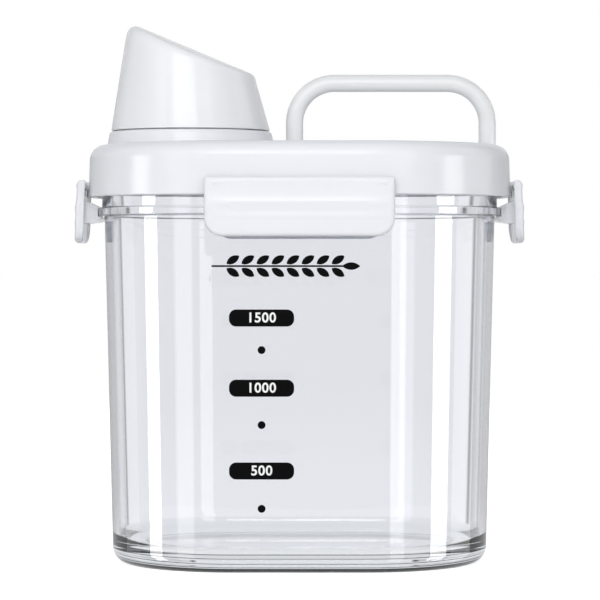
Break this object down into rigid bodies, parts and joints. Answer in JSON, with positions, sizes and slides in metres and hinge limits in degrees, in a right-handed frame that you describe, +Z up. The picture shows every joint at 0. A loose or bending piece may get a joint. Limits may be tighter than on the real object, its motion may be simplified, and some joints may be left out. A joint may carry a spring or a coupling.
{
  "type": "dry food container",
  "caption": "Clear rounded dry-food container with a latched white lid, fold-down carry handle and a pouring spout closed by a lift-off slanted measuring cup.",
  "frame": {"origin": "middle of the base, in the plane of the ring that the container stands on", "axes": "+Z up; the front with the volume scale faces -Y; +X is to the right seen from the front, so the spout is on the -X side and the handle on the +X side"},
  "size_m": [0.1852, 0.1488, 0.2204],
  "materials": {
    "clear_plastic": "clear, polished, thick-walled",
    "white_plastic": "smooth cool white with a soft gloss",
    "cup_plastic": "smooth cool white with a soft gloss, slightly translucent",
    "liner_plastic": "smooth cool white",
    "pin_plastic": "smooth white",
    "silicone": "soft milky silicone",
    "black_ink": "thin printed ink"
  },
  "bodies": {
    "container": {"container_body": "clear_plastic", "lid_cover": "white_plastic", "lid_liner": "liner_plastic", "lid_gasket": "silicone", "pour_spout": "white_plastic", "spout_seal": "silicone", "front_hinge_pin": "pin_plastic", "back_hinge_pin": "pin_plastic", "left_hinge_pin": "pin_plastic", "right_hinge_pin": "pin_plastic", "level_marks": "black_ink", "grain_print": "black_ink"},
    "cup": {"measuring_cup": "cup_plastic"},
    "handle": {"carry_handle": "white_plastic"},
    "front_latch": {"front_latch": "white_plastic"},
    "back_latch": {"back_latch": "white_plastic"},
    "left_latch": {"left_latch": "white_plastic"},
    "right_latch": {"right_latch": "white_plastic"}
  },
  "joints": [
    {"name": "cup_lift", "type": "slide", "parent": "container", "child": "cup", "axis": [0, 0, 1], "range_m": [0, 0.06]},
    {"name": "handle_fold", "type": "hinge", "parent": "container", "child": "handle", "pos_m": [0.0378, 0, 0.16725], "axis": [-1, 0, 0], "range_deg": [0, 90]},
    {"name": "front_latch_hinge", "type": "hinge", "parent": "container", "child": "front_latch", "pos_m": [0, -0.0711, 0.1541], "axis": [-1, 0, 0], "range_deg": [0, 100]},
    {"name": "back_latch_hinge", "type": "hinge", "parent": "container", "child": "back_latch", "pos_m": [0, 0.0711, 0.1541], "axis": [1, 0, 0], "range_deg": [0, 100]},
    {"name": "left_latch_hinge", "type": "hinge", "parent": "container", "child": "left_latch", "pos_m": [-0.0893, 0, 0.1541], "axis": [0, 1, 0], "range_deg": [0, 100]},
    {"name": "right_latch_hinge", "type": "hinge", "parent": "container", "child": "right_latch", "pos_m": [0.0893, 0, 0.1541], "axis": [0, -1, 0], "range_deg": [0, 100]}
  ]
}
